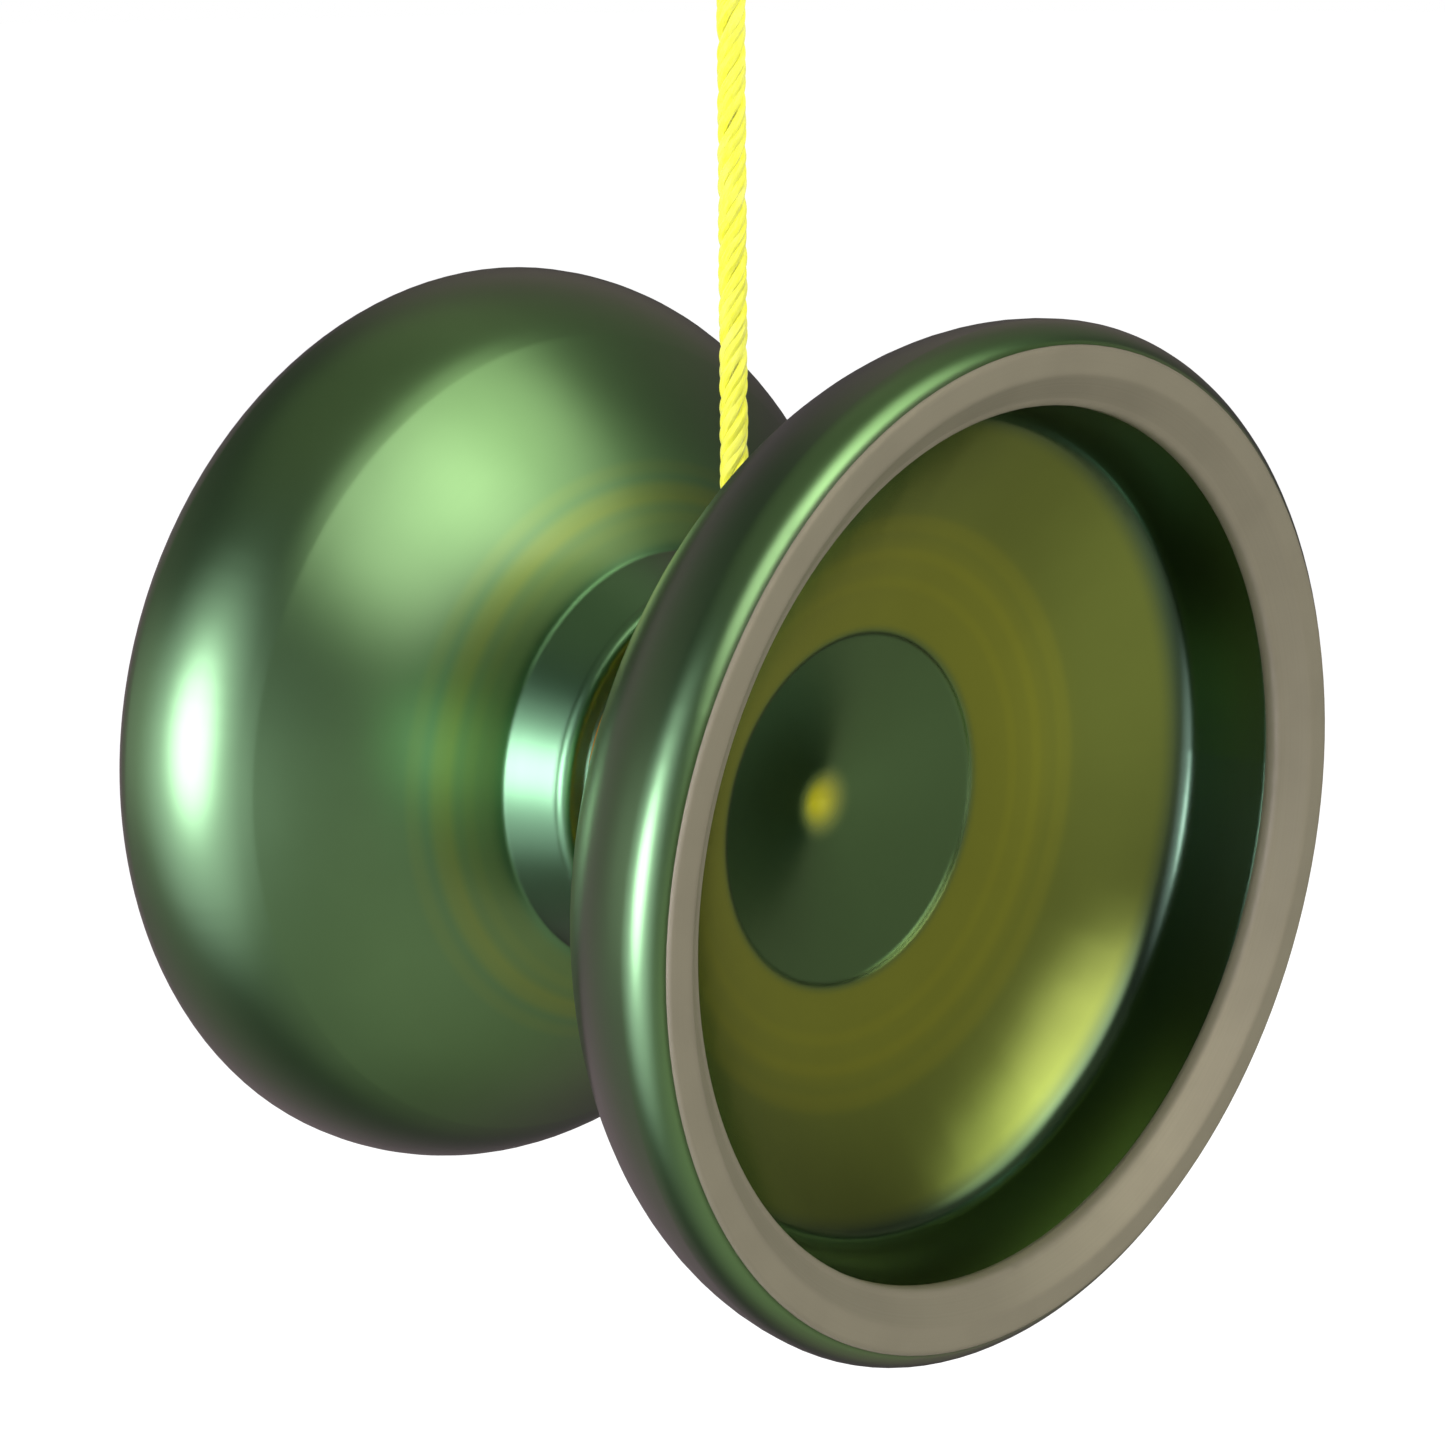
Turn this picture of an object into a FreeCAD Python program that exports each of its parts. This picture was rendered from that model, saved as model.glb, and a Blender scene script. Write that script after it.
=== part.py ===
import FreeCAD, Part

# A ball-bearing yo-yo hanging from a finger on its taut string.
#
# The origin is the centre of the finger loop and +Z is up. The spin axis runs along Y, one
# string drop below the origin. The front half lies on the -Y side and the rear half on the
# +Y side. Every turned piece is drawn with its radius across and its height above the
# middle of the yo-yo upwards, is turned about its own Z axis, and is then laid along Y.

import math
import os

import Sketcher

SIZES = {
    # overall
    "body_diameter": 55.0,
    "body_width": 43.8,
    "string_gap": 4.4,
    # hub and flare, outside
    "nose_wall": 1.7,
    "nose_round": 0.7,
    "hub_spread": 1.1,
    "hub_rise": 3.7,
    "flare_bend": 53.0,
    "rim_bend": 9.0,
    "rim_lip_height": 1.9,
    "rim_lip_width": 1.14,
    "rim_lip_drop": 0.16,
    # cup, inside
    "cup_depth": 6.4,
    "cup_wall_lean": 0.76,
    "cup_corner": 1.8,
    "bowl_bend": 27.5,
    "dish_radius": 9.8,
    "dish_step": 0.2,
    "dish_depth": 2.7,
    "dish_floor": 0.9,
    # inset rim ring
    "ring_width": 3.15,
    "ring_thickness": 2.0,
    "ring_overhang": 0.24,
    "ring_flat": 1.5,
    "ring_slope": 1.1,
    "ring_edge": 0.35,
    "ring_chamfer": 0.15,
    "ring_fit": 0.01,
    # axle and its threads
    "axle_diameter": 4.0,
    "axle_length": 10.0,
    "axle_chamfer": 0.4,
    "axle_socket": 2.0,
    "axle_socket_depth": 2.2,
    "thread_fit": 0.05,
    "thread_bottom": 0.3,
    # ball bearing
    "bearing_bore": 6.35,
    "bearing_outside": 12.7,
    "bearing_width": 4.763,
    "ball_diameter": 1.588,
    "ball_fit": 0.02,
    "race_space": 1.05,
    "race_chamfer": 0.2,
    "shield_thickness": 0.25,
    "shield_wall": 0.65,
    "shield_depth": 0.36,
    "shield_fit": 0.15,
    "shield_side_fit": 0.01,
    "clip_wire": 0.25,
    "clip_bite": 0.25,
    "clip_reach": 0.28,
    "clip_opening": 40.0,
    "cage_sheet": 0.18,
    "cage_pocket_fit": 0.06,
    "cage_race_fit": 0.12,
    # bearing seat
    "post_fit": 0.02,
    "post_gap": 0.6,
    "post_chamfer": 0.3,
    "shoulder_setback": 0.14,
    "seat_relief": 0.35,
    "seat_fit": 0.2,
    # response pads
    "pad_land": 0.8,
    "pad_width": 2.35,
    "pad_thickness": 1.1,
    "pad_recess": 0.06,
    "pad_fit": 0.04,
    # string
    "string_diameter": 1.6,
    "strand_diameter": 0.9,
    "strand_fit": 0.02,
    "axle_loop_rise": 6.2,
    "string_above_rim": 20.0,
    "knot_diameter": 4.2,
    "knot_length": 5.4,
    "finger_diameter": 20.0,
    "finger_loop_rise": 4.7,
}

BALLS = 8
LEFT = 1
RIGHT = -1
FRONT = FreeCAD.Rotation(FreeCAD.Vector(1, 0, 0), 90)
REAR = FreeCAD.Rotation(FreeCAD.Vector(1, 0, 0), -90)
SIDES = {"front": FRONT, "rear": REAR}
UPRIGHT = FreeCAD.Rotation()
UPSIDE_DOWN = FreeCAD.Rotation(FreeCAD.Vector(0, 1, 0), 180)

doc = FreeCAD.newDocument("yo_yo")


# ---------------------------------------------------------------- sheet and sketch helpers


class Size:
    """A length worked out from the sheet, as an expression and as its number."""

    def __init__(self, text, number):
        self.text = text
        self.number = number

    def __add__(self, other):
        return Size(f"({self.text} + {other.text})", self.number + other.number)

    def __sub__(self, other):
        return Size(f"({self.text} - {other.text})", self.number - other.number)

    def __mul__(self, factor):
        return Size(f"{self.text} * {factor}", self.number * factor)

    def __truediv__(self, factor):
        return Size(f"{self.text} / {factor}", self.number / factor)

    def __neg__(self):
        return Size(f"-{self.text}", -self.number)


NOTHING = Size("0", 0.0)


def size(alias):
    return Size(f"Sizes.{alias}", SIZES[alias])


def fill_sheet():
    sheet = doc.addObject("Spreadsheet::Sheet", "Sizes")
    for row, (alias, number) in enumerate(SIZES.items(), start=1):
        sheet.set(f"A{row}", alias)
        sheet.set(f"B{row}", str(number))
        sheet.setAlias(f"B{row}", alias)
    doc.recompute()


def bind(thing, **properties):
    """Tie properties of a feature to sizes from the sheet."""
    for name, length in properties.items():
        thing.setExpression(name, length.text)


def origin_plane(body, role):
    return next(item for item in body.Origin.OriginFeatures if item.Role == role)


def new_body(name):
    body = doc.addObject("PartDesign::Body", name)
    body.Label = name
    return body


def new_sketch(body, name, role):
    sketch = body.newObject("Sketcher::SketchObject", f"{body.Name}_{name}")
    sketch.AttachmentSupport = [(origin_plane(body, role), "")]
    sketch.MapMode = "FlatFace"
    return sketch


def fixed_point(sketch, shape, end, across, up):
    """Tie a point of a sketch to its distances from the sketch's origin."""
    axes = {"DistanceX": (across, -2), "DistanceY": (up, -1)}
    for kind, (length, axis) in axes.items():
        if length is NOTHING:
            sketch.addConstraint(Sketcher.Constraint("PointOnObject", shape, end, axis))
            continue
        place = Sketcher.Constraint(kind, -1, 1, shape, end, length.number)
        row = sketch.addConstraint(place)
        sketch.setExpression(f"Constraints[{row}]", length.text)


def radius_of(sketch, shape, length):
    row = sketch.addConstraint(Sketcher.Constraint("Radius", shape, length.number))
    sketch.setExpression(f"Constraints[{row}]", length.text)


class Corner:
    """A corner of an outline, and the edge that arrives at it: a line, or an arc that turns.

    A bend that is a plain number is only where the arc starts from: what it joins settles it.
    At a smooth corner the edges on both sides are tangent. One that isn't placed lies where
    that puts it. At a level corner the arc that arrives has turned to run straight up.
    """

    def __init__(self, across, up, bend=None, turn=0, smooth=False, placed=True, level=False):
        self.across = across
        self.up = up
        self.bend = bend
        self.turn = turn
        self.smooth = smooth
        self.placed = placed
        self.level = level

    def place(self):
        return FreeCAD.Vector(self.across.number, self.up.number, 0)

    def bend_radius(self):
        return self.bend.number if isinstance(self.bend, Size) else self.bend


def arc_between(start, end, radius, turn):
    """The shorter arc from start to end that turns left or right."""
    chord = end - start
    middle = (start + end) * 0.5
    rise = math.sqrt(max(radius**2 - (chord.Length / 2) ** 2, 0.0))
    left = FreeCAD.Vector(-chord.y, chord.x, 0).normalize()
    centre = middle + left * (turn * rise)
    first, last = (start, end) if turn == LEFT else (end, start)
    begin = math.atan2(first.y - centre.y, first.x - centre.x)
    finish = math.atan2(last.y - centre.y, last.x - centre.x)
    circle = Part.Circle(centre, FreeCAD.Vector(0, 0, 1), radius)
    return Part.ArcOfCircle(circle, begin, finish)


def draw_outline(sketch, corners):
    """Draw a closed outline and tie its corners and bends to their sizes."""
    edges = []
    for before, corner in zip([corners[-1]] + corners[:-1], corners):
        if corner.turn:
            edge = arc_between(before.place(), corner.place(), corner.bend_radius(), corner.turn)
        else:
            edge = Part.LineSegment(before.place(), corner.place())
        shape = sketch.addGeometry(edge, False)
        start, end = (2, 1) if corner.turn == RIGHT else (1, 2)
        edges.append((shape, start, end))
    for corner, (shape, _, end), (after, start, _) in zip(corners, edges, edges[1:] + edges[:1]):
        kind = "Tangent" if corner.smooth else "Coincident"
        sketch.addConstraint(Sketcher.Constraint(kind, shape, end, after, start))
        if corner.placed:
            fixed_point(sketch, shape, end, corner.across, corner.up)
        if isinstance(corner.bend, Size):
            radius_of(sketch, shape, corner.bend)
        if corner.level:
            sketch.addConstraint(Sketcher.Constraint("Horizontal", shape, 3, shape, end))


def revolve(body, sketch, angle=None):
    turned = body.newObject("PartDesign::Revolution", f"{body.Name}_turned")
    turned.Profile = sketch
    turned.ReferenceAxis = (sketch, ["V_Axis"])
    turned.Angle = 360.0
    if angle:
        bind(turned, Angle=angle)
    return turned


def groove(body, sketch, name):
    cut = body.newObject("PartDesign::Groove", f"{body.Name}_{name}")
    cut.Profile = sketch
    cut.ReferenceAxis = (sketch, ["V_Axis"])
    cut.Angle = 360.0


def turned_body(name, corners):
    """A body that is one outline turned about its own Z axis."""
    body = new_body(name)
    sketch = new_sketch(body, "outline", "XZ_Plane")
    draw_outline(sketch, corners)
    revolve(body, sketch)
    return body


def ring_sketch(body, name, inside, outside):
    """Two circles about the body's Z axis, or one where there is no inside."""
    sketch = new_sketch(body, name, "XY_Plane")
    for radius in [length for length in (inside, outside) if length]:
        circle = Part.Circle(FreeCAD.Vector(0, 0, 0), FreeCAD.Vector(0, 0, 1), radius.number)
        shape = sketch.addGeometry(circle, False)
        sketch.addConstraint(Sketcher.Constraint("Coincident", shape, 3, -1, 1))
        radius_of(sketch, shape, radius)
    return sketch


def washer(name, inside, outside, height, thickness):
    """A flat ring about the Z axis, from its height above the middle of the yo-yo."""
    body = new_body(name)
    rings = ring_sketch(body, "ring", inside, outside)
    bind(rings, **{".AttachmentOffset.Base.z": height})
    pad = body.newObject("PartDesign::Pad", f"{body.Name}_pad")
    pad.Profile = rings
    bind(pad, Length=thickness)
    return body


def lay_on_axis(thing, rotation):
    """Lay a turned piece along the spin axis, below the finger loop."""
    thing.Placement = FreeCAD.Placement(FreeCAD.Vector(0, 0, 0), rotation)
    bind(thing, **{".Placement.Base.z": -DROP})


# ------------------------------------------------------------------------- shared places

RIM = size("body_diameter") / 2
TOP = size("body_width") / 2
FACE = size("string_gap") / 2
RING_SEAT = TOP - size("ring_thickness")
RING_OUTER = RIM - size("rim_lip_width")
RING_INNER = RING_OUTER - size("ring_width")
BORE = size("bearing_bore") / 2
BEARING_OUTER = size("bearing_outside") / 2
BEARING_SIDE = size("bearing_width") / 2
BALL = size("ball_diameter") / 2
BALL_CENTRE = (BORE + BEARING_OUTER) / 2
RACEWAY = BALL + size("ball_fit")
INNER_LAND = BALL_CENTRE - size("race_space") / 2
OUTER_LAND = BALL_CENTRE + size("race_space") / 2
SHIELD_OUT = BEARING_SIDE - size("shield_depth")
SHIELD_IN = SHIELD_OUT - size("shield_thickness")
SHIELD_SEAT = BEARING_OUTER - size("shield_wall")
CLIP_IN = SHIELD_OUT + size("shield_side_fit")
CLIP_OUT = CLIP_IN + size("clip_wire")
CLIP_GROOVE = SHIELD_SEAT + size("clip_bite")
PAD_INSIDE = BEARING_OUTER + size("pad_land")
PAD_OUTSIDE = PAD_INSIDE + size("pad_width")
PAD_FACE = FACE + size("pad_recess")
PAD_BACK = PAD_FACE + size("pad_thickness")
NOSE = PAD_OUTSIDE + size("nose_wall")
AXLE = size("axle_diameter") / 2
AXLE_END = size("axle_length") / 2
THREAD = AXLE + size("thread_fit")
THREAD_END = AXLE_END + size("thread_bottom")
STRING = size("string_diameter") / 2
STRAND = size("strand_diameter") / 2
AXLE_LOOP = BEARING_OUTER + size("strand_fit") + STRAND
AXLE_LOOP_TOP = AXLE_LOOP + size("axle_loop_rise")
STRING_TOP = RIM + size("string_above_rim")
KNOT_CENTRE = STRING_TOP + size("knot_length") / 2
FINGER_LOOP = size("finger_diameter") / 2 + STRING
FINGER_LOOP_FOOT = FINGER_LOOP + size("finger_loop_rise")
DROP = KNOT_CENTRE + FINGER_LOOP_FOOT


# ------------------------------------------------------------------------------ the halves


def bearing_seat():
    """The inner side of a half: tapped post, bearing shoulder, pocket and pad groove."""
    post = BORE - size("post_fit")
    post_end = size("post_gap") / 2
    chamfer = size("post_chamfer")
    shoulder = INNER_LAND - size("shoulder_setback")
    floor = BEARING_SIDE + size("seat_relief")
    pocket = BEARING_OUTER + size("seat_fit")
    groove_inside = PAD_INSIDE - size("pad_fit")
    groove_outside = PAD_OUTSIDE + size("pad_fit")
    nose_round = size("nose_round")
    return [
        Corner(THREAD, post_end),
        Corner(post - chamfer, post_end),
        Corner(post, post_end + chamfer),
        Corner(post, BEARING_SIDE),
        Corner(shoulder, BEARING_SIDE),
        Corner(shoulder, floor),
        Corner(pocket, floor),
        Corner(pocket, FACE),
        Corner(groove_inside, FACE),
        Corner(groove_inside, PAD_BACK),
        Corner(groove_outside, PAD_BACK),
        Corner(groove_outside, FACE),
        Corner(NOSE - nose_round, FACE),
        Corner(NOSE, FACE + nose_round, nose_round, LEFT),
    ]


def flare_and_lip():
    """The outer side of a half: hub, flare in two smooth bends, and the rounded lip."""
    rim_bend = size("rim_bend")
    rim_start = TOP - size("rim_lip_height")
    lip_top = TOP - size("rim_lip_drop")
    join = RIM - rim_bend * 0.38
    join_height = rim_start - rim_bend * 0.78
    lip_bend = (lip_top - rim_start).number
    return [
        Corner(NOSE + size("hub_spread"), FACE + size("hub_rise")),
        Corner(join, join_height, size("flare_bend"), LEFT, smooth=True, placed=False),
        Corner(RIM, rim_start, rim_bend, LEFT, smooth=True, level=True),
        Corner(RING_OUTER, lip_top, lip_bend, LEFT),
    ]


def cup():
    """The open side of a half: ring seat, wall, corner, bowl and dish, then the blind thread."""
    wall_top = RING_INNER + size("ring_overhang")
    wall_foot = wall_top - size("cup_wall_lean")
    foot_height = TOP - size("cup_depth")
    corner = size("cup_corner")
    bowl_end = wall_foot - corner * 0.36
    bowl_end_height = foot_height - corner * 0.77
    dish_bottom = THREAD_END + size("dish_floor")
    dish_top = dish_bottom + size("dish_depth")
    dish_radius = size("dish_radius")
    return [
        Corner(RING_OUTER, RING_SEAT),
        Corner(wall_top, RING_SEAT),
        Corner(wall_foot, foot_height, smooth=True),
        Corner(bowl_end, bowl_end_height, corner, RIGHT, smooth=True, placed=False),
        Corner(dish_radius, dish_top + size("dish_step"), size("bowl_bend"), RIGHT),
        Corner(dish_radius, dish_top),
        Corner(NOTHING, dish_bottom),
        Corner(NOTHING, THREAD_END),
        Corner(THREAD, THREAD_END),
    ]


def half(side):
    return turned_body(f"{side}_half", bearing_seat() + flare_and_lip() + cup())


def rim_ring(side):
    """The inset ring: a flat face, a slope down to a rounded inner edge, a small chamfer."""
    outer = RING_OUTER - size("ring_fit")
    flat = RING_OUTER - size("ring_flat")
    chamfer = size("ring_chamfer")
    edge = size("ring_edge")
    slope_foot = TOP - size("ring_slope")
    return turned_body(
        f"{side}_rim_ring",
        [
            Corner(outer, RING_SEAT),
            Corner(outer, TOP - chamfer),
            Corner(outer - chamfer, TOP),
            Corner(flat, TOP),
            Corner(RING_INNER + edge, slope_foot),
            Corner(RING_INNER, slope_foot - edge, edge, LEFT),
            Corner(RING_INNER, RING_SEAT),
        ],
    )


def response_pad(side):
    """A flat silicone ring, glued in its groove just under the face of the half."""
    return washer(f"{side}_response_pad", PAD_INSIDE, PAD_OUTSIDE, PAD_FACE, size("pad_thickness"))


# ------------------------------------------------------------------------ axle and bearing


def hexagon(body, name, across_flats):
    """A hexagon about the body's Z axis, by the size of its key."""
    sketch = new_sketch(body, name, "XY_Plane")
    reach = FreeCAD.Vector(across_flats.number / math.sqrt(3), 0, 0)
    upright = FreeCAD.Vector(0, 0, 1)
    corners = [FreeCAD.Rotation(upright, 60 * turn).multVec(reach) for turn in range(6)]
    for start, end in zip(corners, corners[1:] + corners[:1]):
        sketch.addGeometry(Part.LineSegment(start, end), False)
    circle = Part.Circle(FreeCAD.Vector(0, 0, 0), upright, across_flats.number / 2)
    inner = sketch.addGeometry(circle, True)
    sketch.addConstraint(Sketcher.Constraint("Coincident", inner, 3, -1, 1))
    radius_of(sketch, inner, across_flats / 2)
    for flat in range(6):
        sketch.addConstraint(Sketcher.Constraint("Coincident", flat, 2, (flat + 1) % 6, 1))
        sketch.addConstraint(Sketcher.Constraint("Tangent", flat, inner))
    for flat in range(1, 6):
        sketch.addConstraint(Sketcher.Constraint("Equal", 0, flat))
    sketch.addConstraint(Sketcher.Constraint("PointOnObject", 0, 1, -1))
    return sketch


def axle():
    """A headless set screw with chamfered ends and a hexagon socket in one of them."""
    chamfer = size("axle_chamfer")
    body = turned_body(
        "axle",
        [
            Corner(NOTHING, -AXLE_END),
            Corner(AXLE - chamfer, -AXLE_END),
            Corner(AXLE, chamfer - AXLE_END),
            Corner(AXLE, AXLE_END - chamfer),
            Corner(AXLE - chamfer, AXLE_END),
            Corner(NOTHING, AXLE_END),
        ],
    )
    socket = body.newObject("PartDesign::Pocket", "axle_socket_cut")
    outline = hexagon(body, "socket", size("axle_socket"))
    bind(outline, **{".AttachmentOffset.Base.z": AXLE_END})
    socket.Profile = outline
    bind(socket, Length=size("axle_socket_depth"))
    return body


def inner_race():
    """The inner race, with a chamfered bore and a raceway round its plain outside."""
    chamfer = size("race_chamfer")
    body = turned_body(
        "bearing_inner_race",
        [
            Corner(BORE, chamfer - BEARING_SIDE),
            Corner(BORE + chamfer, -BEARING_SIDE),
            Corner(INNER_LAND, -BEARING_SIDE),
            Corner(INNER_LAND, BEARING_SIDE),
            Corner(BORE + chamfer, BEARING_SIDE),
            Corner(BORE, BEARING_SIDE - chamfer),
        ],
    )
    cut_raceway(body)
    return body


def cut_raceway(body):
    """Turn the ball track into a race."""
    sketch = new_sketch(body, "raceway", "XZ_Plane")
    centre = FreeCAD.Vector(BALL_CENTRE.number, 0, 0)
    circle = Part.Circle(centre, FreeCAD.Vector(0, 0, 1), RACEWAY.number)
    shape = sketch.addGeometry(circle, False)
    fixed_point(sketch, shape, 3, BALL_CENTRE, NOTHING)
    radius_of(sketch, shape, RACEWAY)
    groove(body, sketch, "track")


def outer_race():
    """The outer race, with a step for each shield and a groove for each snap ring."""
    chamfer = size("race_chamfer")
    upper = [
        Corner(BEARING_OUTER, BEARING_SIDE - chamfer),
        Corner(BEARING_OUTER - chamfer, BEARING_SIDE),
        Corner(SHIELD_SEAT, BEARING_SIDE),
        Corner(SHIELD_SEAT, CLIP_OUT),
        Corner(CLIP_GROOVE, CLIP_OUT),
        Corner(CLIP_GROOVE, CLIP_IN),
        Corner(SHIELD_SEAT, CLIP_IN),
        Corner(SHIELD_SEAT, SHIELD_IN),
        Corner(OUTER_LAND, SHIELD_IN),
    ]
    lower = [Corner(corner.across, -corner.up) for corner in reversed(upper)]
    body = turned_body("bearing_outer_race", upper + lower)
    cut_raceway(body)
    return body


def bearing_shield(side):
    """A thin washer that rests on the outer race's step and clears the inner race."""
    inside = INNER_LAND + size("shield_fit")
    outside = SHIELD_SEAT - size("shield_side_fit")
    thickness = size("shield_thickness")
    return washer(f"{side}_bearing_shield", inside, outside, SHIELD_IN, thickness)


def snap_ring(side):
    """An open wire ring, sprung into its groove in the outer race."""
    gap = size("shield_side_fit")
    outside = CLIP_GROOVE - gap
    inside = SHIELD_SEAT - size("clip_reach")
    body = new_body(f"{side}_snap_ring")
    sketch = new_sketch(body, "outline", "XZ_Plane")
    corners = [
        Corner(inside, CLIP_IN),
        Corner(outside, CLIP_IN),
        Corner(outside, CLIP_OUT - gap),
        Corner(inside, CLIP_OUT - gap),
    ]
    draw_outline(sketch, corners)
    revolve(body, sketch, Size("360", 360.0) - size("clip_opening"))
    return body


def sphere_ring(body, kind, name, radius):
    """A sphere on the ball circle, repeated once for each ball."""
    ball = body.newObject(kind, f"{body.Name}_{name}")
    ball.AttachmentSupport = [(origin_plane(body, "XY_Plane"), "")]
    ball.MapMode = "FlatFace"
    bind(ball, Radius=radius)
    bind(ball, **{".AttachmentOffset.Base.x": BALL_CENTRE})
    pattern = body.newObject("PartDesign::PolarPattern", f"{body.Name}_{name}_ring")
    pattern.Originals = [ball]
    pattern.Axis = (origin_plane(body, "Z_Axis"), [""])
    pattern.Angle = 360.0
    pattern.Occurrences = BALLS
    body.Tip = pattern


def bearing_balls():
    body = new_body("bearing_balls")
    body.AllowCompound = True
    sphere_ring(body, "PartDesign::AdditiveSphere", "ball", BALL)
    return body


def cage_half(side):
    """One pressed ribbon of the cage: a flat ring with a domed pocket over each ball."""
    pocket = BALL + size("cage_pocket_fit")
    sheet = size("cage_sheet")
    inside = INNER_LAND + size("cage_race_fit")
    outside = OUTER_LAND - size("cage_race_fit")
    high = pocket * 2
    far = OUTER_LAND * 2
    body = new_body(f"{side}_cage_half")
    ribbon = body.newObject("PartDesign::Pad", f"{body.Name}_ribbon")
    ribbon.Profile = ring_sketch(body, "ring", inside, outside)
    bind(ribbon, Length=sheet)
    sphere_ring(body, "PartDesign::AdditiveSphere", "dome", pocket + sheet)
    sphere_ring(body, "PartDesign::SubtractiveSphere", "pocket", pocket)
    below = body.newObject("PartDesign::Pocket", f"{body.Name}_below")
    below.Profile = ring_sketch(body, "below_outline", None, far)
    bind(below, Length=high)
    edges = {"inner": (NOTHING, inside), "outer": (outside, far)}
    for name, (near_side, far_side) in edges.items():
        trim = new_sketch(body, f"{name}_trim", "XZ_Plane")
        draw_outline(
            trim,
            [
                Corner(near_side, -high),
                Corner(far_side, -high),
                Corner(far_side, high),
                Corner(near_side, high),
            ],
        )
        groove(body, trim, f"{name}_cut")
    return body


# ---------------------------------------------------------------------------------- string


def teardrop(name, bend, reach, cord, height, rotation):
    """A tight loop of cord: an arc about its centre, and two straight legs that meet."""
    meeting = FreeCAD.Vector(cord.number, 0, reach.number)
    lean = math.atan2(meeting.x, meeting.z) + math.acos(bend.number / meeting.Length)
    touch = FreeCAD.Vector(math.sin(lean), 0, math.cos(lean)) * bend.number
    bottom = FreeCAD.Vector(0, 0, -bend.number)
    far_touch = FreeCAD.Vector(-touch.x, 0, touch.z)
    far_meeting = FreeCAD.Vector(-meeting.x, 0, meeting.z)
    path = Part.Wire(
        [
            Part.LineSegment(meeting, touch).toShape(),
            Part.Arc(touch, bottom, far_touch).toShape(),
            Part.LineSegment(far_touch, far_meeting).toShape(),
        ]
    )
    section = Part.Wire(Part.Circle(meeting, touch - meeting, cord.number).toShape())
    loop = doc.addObject("Part::Feature", name)
    loop.Label = name
    loop.Shape = path.makePipeShell([section], True, True)
    loop.Placement = FreeCAD.Placement(FreeCAD.Vector(0, 0, height.number), rotation)
    expected = math.pi * cord.number**2 * path.Length
    print(f"{name}: bend {bend.number:.2f}, length {path.Length:.1f}")
    print(f"{name}: volume {loop.Shape.Volume:.2f}, section times length {expected:.2f}")
    return loop


def string_run():
    """The taut string, from the meeting of the axle loop's legs up to the slip knot."""
    run = doc.addObject("Part::Cylinder", "string")
    run.Label = "string"
    bind(run, Radius=STRING, Height=STRING_TOP - AXLE_LOOP_TOP)
    bind(run, **{".Placement.Base.z": AXLE_LOOP_TOP - DROP})
    return run


def slip_knot():
    """The knot that closes the finger loop, as its outer shape."""
    knot = doc.addObject("Part::Ellipsoid", "slip_knot")
    knot.Label = "slip_knot"
    width = size("knot_diameter") / 2
    bind(knot, Radius1=size("knot_length") / 2, Radius2=width, Radius3=width)
    bind(knot, **{".Placement.Base.z": KNOT_CENTRE - DROP})
    return knot


# -------------------------------------------------------------------------------- assembly


def build_pieces():
    pieces = []
    for side, rotation in SIDES.items():
        for make in (half, rim_ring, response_pad, cage_half, bearing_shield, snap_ring):
            piece = make(side)
            lay_on_axis(piece, rotation)
            pieces.append(piece)
    for make in (axle, inner_race, outer_race, bearing_balls):
        piece = make()
        lay_on_axis(piece, FRONT)
        pieces.append(piece)
    pieces.append(teardrop("axle_loop", AXLE_LOOP, AXLE_LOOP_TOP, STRAND, -DROP, UPRIGHT))
    pieces.append(teardrop("finger_loop", FINGER_LOOP, FINGER_LOOP_FOOT, STRING, NOTHING, UPSIDE_DOWN))
    pieces.append(string_run())
    pieces.append(slip_knot())
    return pieces


def check(pieces):
    """Stop if any object failed, or any piece has no valid shape."""
    for item in doc.Objects:
        if "Invalid" in item.State or "Error" in item.State:
            raise RuntimeError(f"{item.Name} failed: {item.State}")
    for piece in pieces:
        if piece.Shape.isNull() or not piece.Shape.isValid():
            raise RuntimeError(f"{piece.Label} has no valid shape")


def export(pieces):
    os.makedirs("parts", exist_ok=True)
    for piece in pieces:
        piece.Shape.exportStep(f"parts/{piece.Label}.step")
        print(piece.Label, len(piece.Shape.Solids), round(piece.Shape.Volume, 3))


fill_sheet()
all_pieces = build_pieces()
doc.recompute()
check(all_pieces)
export(all_pieces)
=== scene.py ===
import math
import random

import bpy
from mathutils import Matrix, Vector


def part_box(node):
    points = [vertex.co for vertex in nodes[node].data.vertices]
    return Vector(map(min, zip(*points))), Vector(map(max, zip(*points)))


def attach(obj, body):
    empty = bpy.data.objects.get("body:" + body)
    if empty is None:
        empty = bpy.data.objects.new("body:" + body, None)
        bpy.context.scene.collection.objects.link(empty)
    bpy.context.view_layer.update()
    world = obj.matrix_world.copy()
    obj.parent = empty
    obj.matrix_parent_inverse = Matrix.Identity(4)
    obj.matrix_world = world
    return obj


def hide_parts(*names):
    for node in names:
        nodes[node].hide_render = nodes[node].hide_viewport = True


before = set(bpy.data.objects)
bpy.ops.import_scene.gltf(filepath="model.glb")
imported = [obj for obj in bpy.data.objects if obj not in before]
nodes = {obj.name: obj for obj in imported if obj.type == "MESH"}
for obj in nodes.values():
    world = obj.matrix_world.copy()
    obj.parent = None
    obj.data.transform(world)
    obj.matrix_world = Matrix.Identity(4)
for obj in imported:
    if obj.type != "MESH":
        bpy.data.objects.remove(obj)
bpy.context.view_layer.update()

MM = 0.001

# The spin axis runs along Y through the middle of the bearing. A yo-yo's pieces are all turned
# about it, so places are given as a distance from that axis and a height along it.
race_low, race_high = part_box("bearing_outer_race")
HUB = (race_low + race_high) / 2


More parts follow.
